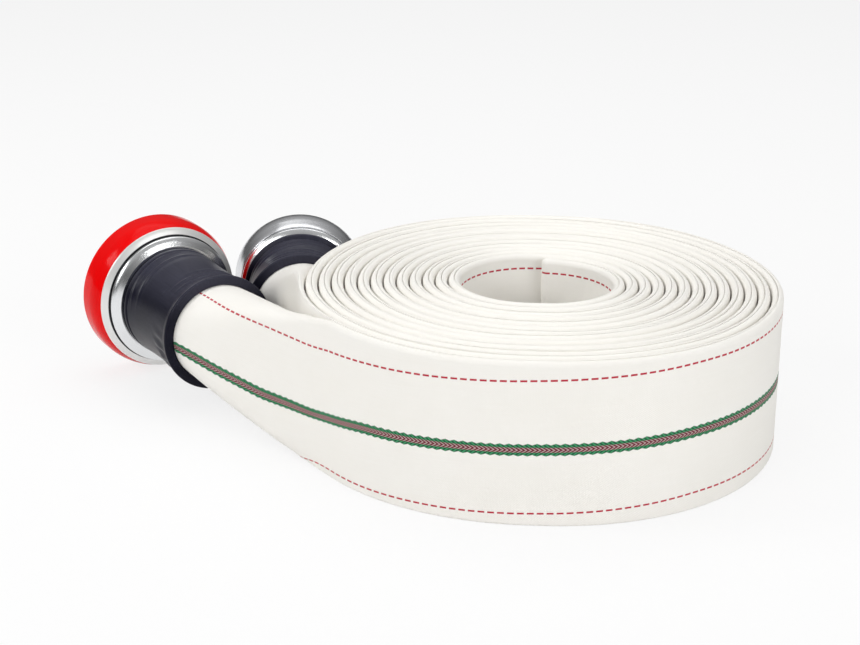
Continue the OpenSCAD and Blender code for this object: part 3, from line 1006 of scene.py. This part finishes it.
def sleeve_outline(coupling):
    """A rubber sleeve with a bead at the collar, a hollow waist and a flat-faced lip."""
    neck = SLEEVE_BORE + NECK_WALL
    start = coupling.sleeve_start
    reach = coupling.reach
    bead = coupling.bead_r
    neck_front = start + 9
    neck_back = reach - 9
    flare = 1.2
    waist = []
    for t in np.linspace(0, 1, WAIST_STEPS + 1):
        place = neck_front + (neck_back - neck_front) * t
        waist.append((neck + flare * (2 * t - 1) ** 2, place, 0.0))
    bead_end = [(SLEEVE_BORE, reach - 7, 0.4), (SLEEVE_BORE, start, 0.4),
                (bead - 1.2, start, 1.0), (bead, start + 2.2, 1.6),
                (bead, start + 5.0, 1.8), (neck + 0.2, start + 6.6, 0.8)]
    lip_end = [(LIP_R - 1.2, reach - 5.2, 2.2), (LIP_R, reach - 2.6, 1.0),
               (LIP_R, reach - 0.7, 0.5), (LIP_R - 0.7, reach, 0.5),
               (LIP_BORE, reach, 0.5), (LIP_BORE, reach - 5, 0.4)]
    return rounded(bead_end + waist + lip_end)


def gasket_outline():
    """A ring with a rounded lip that stands a little in front of the tail."""
    foot = 8.95
    lip = -1.0
    return rounded([(GASKET_IN, foot, 0.3), (GASKET_OUT, foot, 0.3),
                    (GASKET_OUT, 2.0, 0.6), (GASKET_OUT - 1.5, lip, 1.0),
                    (GASKET_IN + 2, lip, 1.0), (GASKET_IN, lip + 1.5, 0.6)])


# How edges are broken: metres, segments and degrees
WELD_DISTANCE = 0.00001
BEVEL_SEGMENTS = 3
BEVEL_FROM_ANGLE = 32


def soften(node, width):
    """Breaks the sharp edges of a CAD node with modifiers, so that they catch the light."""
    weld = node.modifiers.new("weld", "WELD")
    weld.merge_threshold = WELD_DISTANCE
    edge = node.modifiers.new("broken_edges", "BEVEL")
    edge.width = width
    edge.segments = BEVEL_SEGMENTS
    edge.limit_method = "ANGLE"
    edge.angle_limit = math.radians(BEVEL_FROM_ANGLE)
    edge.harden_normals = True


def dress(node, material, soft_edge=0.0):
    """Gives a CAD node its material, and broken edges of this width in metres."""
    target = nodes[node]
    target.data.materials.clear()
    target.data.materials.append(material)
    if soft_edge:
        soften(target, soft_edge)


# Hose pieces

def hose_piece(name, first, last, girth, material, body, replaced=(), stride=1, inner=False):
    """A stretch of the woven jacket between two stations, or the face of the lining inside it.

    One given no body rides on none.
    """
    grid, along = hose_grid(first, last, girth, stride, WALL if inner else 0.0)
    mesh = hose_mesh(name, grid, along, girth, flip=inner)
    mesh.materials.append(material)
    made = new_object(name, mesh)
    if body:
        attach(made, body)
    if replaced:
        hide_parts(*replaced)
    return made


def swing(piece):
    """Bakes the piece's place into its mesh, and leaves it on no body."""
    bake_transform(piece)


# Marks round the girth, on a face and at an edge: fine where a face shows, coarse between the turns
FINE_MARKS = (30, 16)
COARSE_MARKS = (8, 10)
COARSE_STRIDE = 3

# Where the pieces end: distances along the hose, turns at the core, and stations
RED_PIECE_ON_ROLL = 120
WRAP_PAST_TURN = 40
CORE_TURNS = 1.15
CORE_BEFORE_FOLD = 60
PLAIN_PIECE_ON_ROLL = 330
LINING_SHORT = 2


def build_hose():
    jacket = woven_jacket()
    lining = lining_rubber()
    fine = girth_marks(*FINE_MARKS)
    coarse = girth_marks(*COARSE_MARKS)
    last = len(route.along) - 1
    outer_turn = 2 * math.pi * (LAST_R + LAYER_PITCH)
    core_turn = 2 * math.pi * FIRST_R
    red_to = route.station(route.along[route.red_leave] + RED_PIECE_ON_ROLL)
    wrap_to = route.station(route.along[red_to] + outer_turn + WRAP_PAST_TURN)
    core_from = route.fold - CORE_BEFORE_FOLD
    core_to = route.station(route.along[route.fold] + CORE_TURNS * core_turn)
    plain_from = route.station(route.along[route.plain_leave] - PLAIN_PIECE_ON_ROLL)
    swing(hose_piece("red_end_hose", 0, red_to, fine, jacket, None, ["red_end_jacket"]))
    red_open_to = route.red_leave - LINING_SHORT
    swing(hose_piece("red_end_hose_lining", 0, red_open_to, fine, lining, None, ["red_end_lining"],
                     inner=True))
    hose_piece("hose_outer_wrap", red_to, wrap_to, fine, jacket, "roll")
    hose_piece("hose_inner_turns", wrap_to, core_from, coarse, jacket, "roll",
               ["roll_jacket", "roll_lining"], COARSE_STRIDE)
    hose_piece("hose_core_wrap", core_from, core_to, fine, jacket, "roll")
    hose_piece("hose_inner_turns_back", core_to, plain_from, coarse, jacket, "roll",
               stride=COARSE_STRIDE)
    hose_piece("plain_end_hose", plain_from, last, fine, jacket, "roll", ["plain_end_jacket"])
    plain_open_from = route.plain_leave + LINING_SHORT
    hose_piece("plain_end_hose_lining", plain_open_from, last, fine, lining, "roll",
               ["plain_end_lining"], inner=True)


# Widths of the broken edges of the metal nodes, in metres
RING_EDGE = 0.0004
TAIL_EDGE = 0.0003


def build_couplings():
    rubber = black_rubber()
    red = red_guard()
    polished = turned_metal("polished_aluminium", bright=linear(242, 243, 244),
                            dull=linear(218, 220, 222), rough_low=0.14, rough_high=0.28)
    cast = cast_metal("cast_aluminium", bright=linear(246, 246, 244), dull=linear(228, 228, 228),
                      rough_low=0.34, rough_high=0.48)
    satin = ring_metal("satin_aluminium", RED, bright=linear(246, 246, 244), dull=linear(230, 230, 229),
                       rough_low=0.28, rough_high=0.42, metallic=0.6, gap_shade_share=1.0)
    machined = ring_metal("machined_aluminium", PLAIN, bright=linear(236, 236, 238),
                          dull=linear(204, 206, 210), rough_low=0.16, rough_high=0.28,
                          metallic=1.0, gap_shade_share=0.3)
    steel = cast_metal("spring_steel", bright=linear(150, 150, 152), dull=linear(110, 110, 114),
                       rough_low=0.3, rough_high=0.45)
    wire = cast_metal("binding_wire", bright=linear(190, 188, 182), dull=linear(150, 148, 142),
                      rough_low=0.3, rough_high=0.5)
    plastic = washer_plastic()
    for name, end, ring in (("red_end", RED, satin), ("plain_end", PLAIN, machined)):
        sleeve = sleeve_outline(end.coupling)
        collar = collar_outline(end.coupling)
        lathe(name + "_moulded_sleeve", end, sleeve, rubber, end.body, name + "_sleeve",
              end.coupling.reach, sleeve_folds(end.coupling))
        lathe(name + "_turned_collar", end, collar, polished, end.body, name + "_retaining_collar",
              end.coupling.collar_front)
        lathe(name + "_face_gasket", end, gasket_outline(), rubber, end.body, name + "_gasket")
        dress(name + "_lug_ring", ring, RING_EDGE)
        dress(name + "_hose_tail", cast, TAIL_EDGE)
        dress(name + "_thrust_washer", plastic)
        dress(name + "_spring_clip", steel)
        dress(name + "_binding_wire", wire)
    lathe("red_end_guard_band", RED, guard_outline(), red, "red_ring", "red_end_guard_ring")


# Studio

def build_camera():
    rise = math.radians(CAMERA_RISE)
    pitch = math.radians(CAMERA_PITCH)
    yaw = math.radians(CAMERA_YAW)
    roll = math.radians(CAMERA_ROLL)
    height = AXIS_H + CAMERA_REACH * math.sin(rise)
    place = Vector((0, -CAMERA_REACH * math.cos(rise), height)) * MM
    ahead = Vector((math.sin(yaw) * math.cos(pitch), math.cos(yaw) * math.cos(pitch), -math.sin(pitch)))
    level_right = ahead.cross(Vector((0, 0, 1))).normalized()
    level_up = level_right.cross(ahead)
    right = level_right * math.cos(roll) + level_up * math.sin(roll)
    up = level_up * math.cos(roll) - level_right * math.sin(roll)
    lens = bpy.data.cameras.new("camera")
    lens.sensor_width = SENSOR_WIDTH
    lens.lens = CAMERA_FOCUS / IMAGE_WIDTH * SENSOR_WIDTH
    camera = new_object("camera", lens)
    camera.matrix_world = Matrix.Translation(place) @ Matrix((right, up, -ahead)).transposed().to_4x4()
    bpy.context.scene.camera = camera


# The floor, and how far it is a plain white to the camera and in mirrors
FLOOR_SIZE = 12.0
FLOOR_PALE = linear(240, 240, 240)
FLOOR_WHITE = 0.8


def build_floor():
    """A matt floor that lights the object as any floor does, and looks white wherever it is seen."""
    mesh = bpy.data.meshes.new("floor")
    s = FLOOR_SIZE / 2
    mesh.from_pydata([(-s, -s, 0), (s, -s, 0), (s, s, 0), (-s, s, 0)], [], [(0, 1, 2, 3)])
    floor = new_object("floor", mesh)
    p = Paint("floor")
    p.set(Base_Color=FLOOR_PALE, Roughness=0.9, Specular_IOR_Level=0.1)
    light = p.node("ShaderNodeLightPath").outputs
    seen = p.maths("MAXIMUM", light["Is Camera Ray"], light["Is Glossy Ray"])
    seen = p.maths("MAXIMUM", seen, light["Is Transmission Ray"])
    mixed = p.node("ShaderNodeMixShader")
    p.feed(mixed.inputs[0], p.times(seen, FLOOR_WHITE))
    p.feed(mixed.inputs[1], p.shader.outputs[0])
    p.feed(mixed.inputs[2], p.node("ShaderNodeEmission").outputs[0])
    p.feed(p.tree.nodes["Material Output"].inputs["Surface"], mixed.outputs[0])
    mesh.materials.append(p.material)


# Brightness of the ceiling and the walls, and the height at which the ceiling is reached
ROOM_TOP = 0.45
ROOM_SIDES = 0.08
ROOM_EASE_TO = 0.8


def build_room():
    """A room with a bright ceiling and darker walls, so that metal and gloss show their form."""
    world = bpy.data.worlds.new("room")
    bpy.context.scene.world = world
    world.use_nodes = True
    tree = world.node_tree
    direction = tree.nodes.new("ShaderNodeTexCoord")
    height = tree.nodes.new("ShaderNodeSeparateXYZ")
    ease = tree.nodes.new("ShaderNodeMapRange")
    ease.interpolation_type = "SMOOTHSTEP"
    ease.inputs["From Max"].default_value = ROOM_EASE_TO
    ease.inputs["To Min"].default_value = ROOM_SIDES
    ease.inputs["To Max"].default_value = ROOM_TOP
    tree.links.new(direction.outputs["Generated"], height.inputs[0])
    tree.links.new(height.outputs["Z"], ease.inputs["Value"])
    tree.links.new(ease.outputs["Result"], tree.nodes["Background"].inputs["Strength"])
    tree.nodes["Background"].inputs["Color"].default_value = (1, 1, 1, 1)


def soft_lamp(name, place, aim, width, height, power):
    """A wide lamp that faces its aim, in metres and watts."""
    data = bpy.data.lights.new(name, "AREA")
    data.shape = "RECTANGLE"
    data.size = width
    data.size_y = height
    data.energy = power
    lamp = new_object(name, data)
    lamp.location = place
    lamp.rotation_mode = "QUATERNION"
    lamp.rotation_quaternion = (Vector(aim) - Vector(place)).to_track_quat("-Z", "Y")


def build_lamps():
    soft_lamp("key_lamp", place=(-1.4, -2.0, 1.2), aim=(-0.05, 0, 0.06),
              width=1.4, height=1.0, power=17)
    soft_lamp("fill_lamp", place=(1.7, -1.6, 0.9), aim=(-0.1, 0.0, 0.06),
              width=1.2, height=1.0, power=20)
    soft_lamp("side_lamp", place=(-1.7, -0.2, 1.15), aim=(-0.3, 0.05, 0.06),
              width=0.7, height=0.5, power=8)
    soft_lamp("top_lamp", place=(-0.1, 0.5, 2.0), aim=(-0.1, 0.1, 0.1),
              width=2.2, height=2.0, power=19)


build_camera()
build_floor()
build_room()
build_lamps()
build_hose()
build_couplings()

bpy.context.scene.view_settings.view_transform = "Standard"

bpy.context.view_layer.update()
